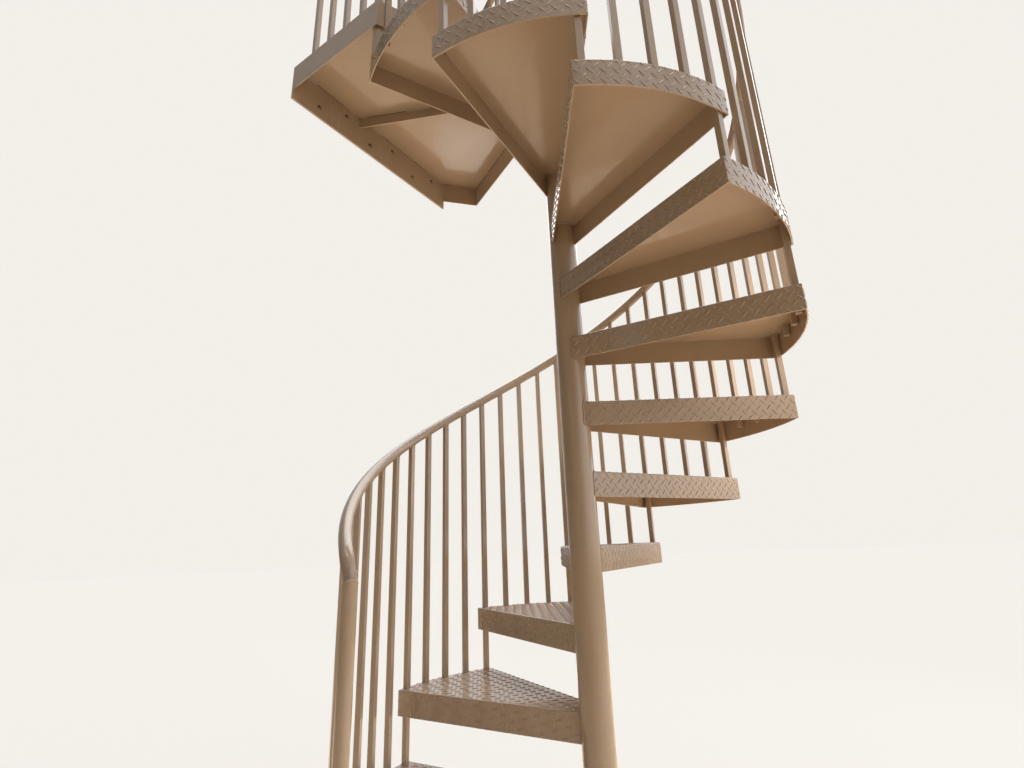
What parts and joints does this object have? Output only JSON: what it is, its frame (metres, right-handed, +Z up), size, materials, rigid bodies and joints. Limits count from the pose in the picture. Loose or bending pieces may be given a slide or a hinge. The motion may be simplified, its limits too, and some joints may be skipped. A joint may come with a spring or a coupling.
{
  "type": "spiral staircase",
  "caption": "Exterior spiral stair that climbs clockwise round a pipe column: pan treads of diamond plate, square balusters under a round helical handrail, and a landing bolted to a wall.",
  "frame": {"origin": "centre of the base flange's underside, on the column's axis", "axes": "+Z up the column, +Y towards the wall that carries the landing"},
  "size_m": [1.5322, 1.5703, 4.1719],
  "materials": {
    "tread_plate": "tan semi-gloss enamel over raised-lug diamond plate",
    "baluster_bar": "tan semi-gloss enamel over square bar",
    "rail_tube": "tan gloss enamel over round tube",
    "column_pipe": "tan gloss enamel over pipe",
    "landing_plate": "tan semi-gloss enamel over flat plate"
  },
  "bodies": {
    "root": {"base_flange": "column_pipe", "column": "column_pipe", "column_cap": "column_pipe", "tread_01": "tread_plate", "tread_02": "tread_plate", "tread_03": "tread_plate", "tread_04": "tread_plate", "tread_05": "tread_plate", "tread_06": "tread_plate", "tread_07": "tread_plate", "tread_08": "tread_plate", "tread_09": "tread_plate", "tread_10": "tread_plate", "tread_11": "tread_plate", "tread_12": "tread_plate", "balusters_01": "baluster_bar", "balusters_02": "baluster_bar", "balusters_03": "baluster_bar", "balusters_04": "baluster_bar", "balusters_05": "baluster_bar", "balusters_06": "baluster_bar", "balusters_07": "baluster_bar", "balusters_08": "baluster_bar", "balusters_09": "baluster_bar", "balusters_10": "baluster_bar", "balusters_11": "baluster_bar", "balusters_12": "baluster_bar", "newel_foot": "landing_plate", "newel_post": "rail_tube", "handrail": "rail_tube", "landing_deck": "landing_plate", "landing_skirt": "landing_plate", "landing_rib": "landing_plate", "ledger_plate": "landing_plate", "landing_post": "rail_tube", "guard_rail_side": "rail_tube", "guard_rail_far": "rail_tube", "guard_rail_chamfer": "rail_tube", "wall_flanges": "landing_plate", "guard_balusters_side": "baluster_bar", "guard_balusters_far": "baluster_bar"}
  },
  "joints": []
}
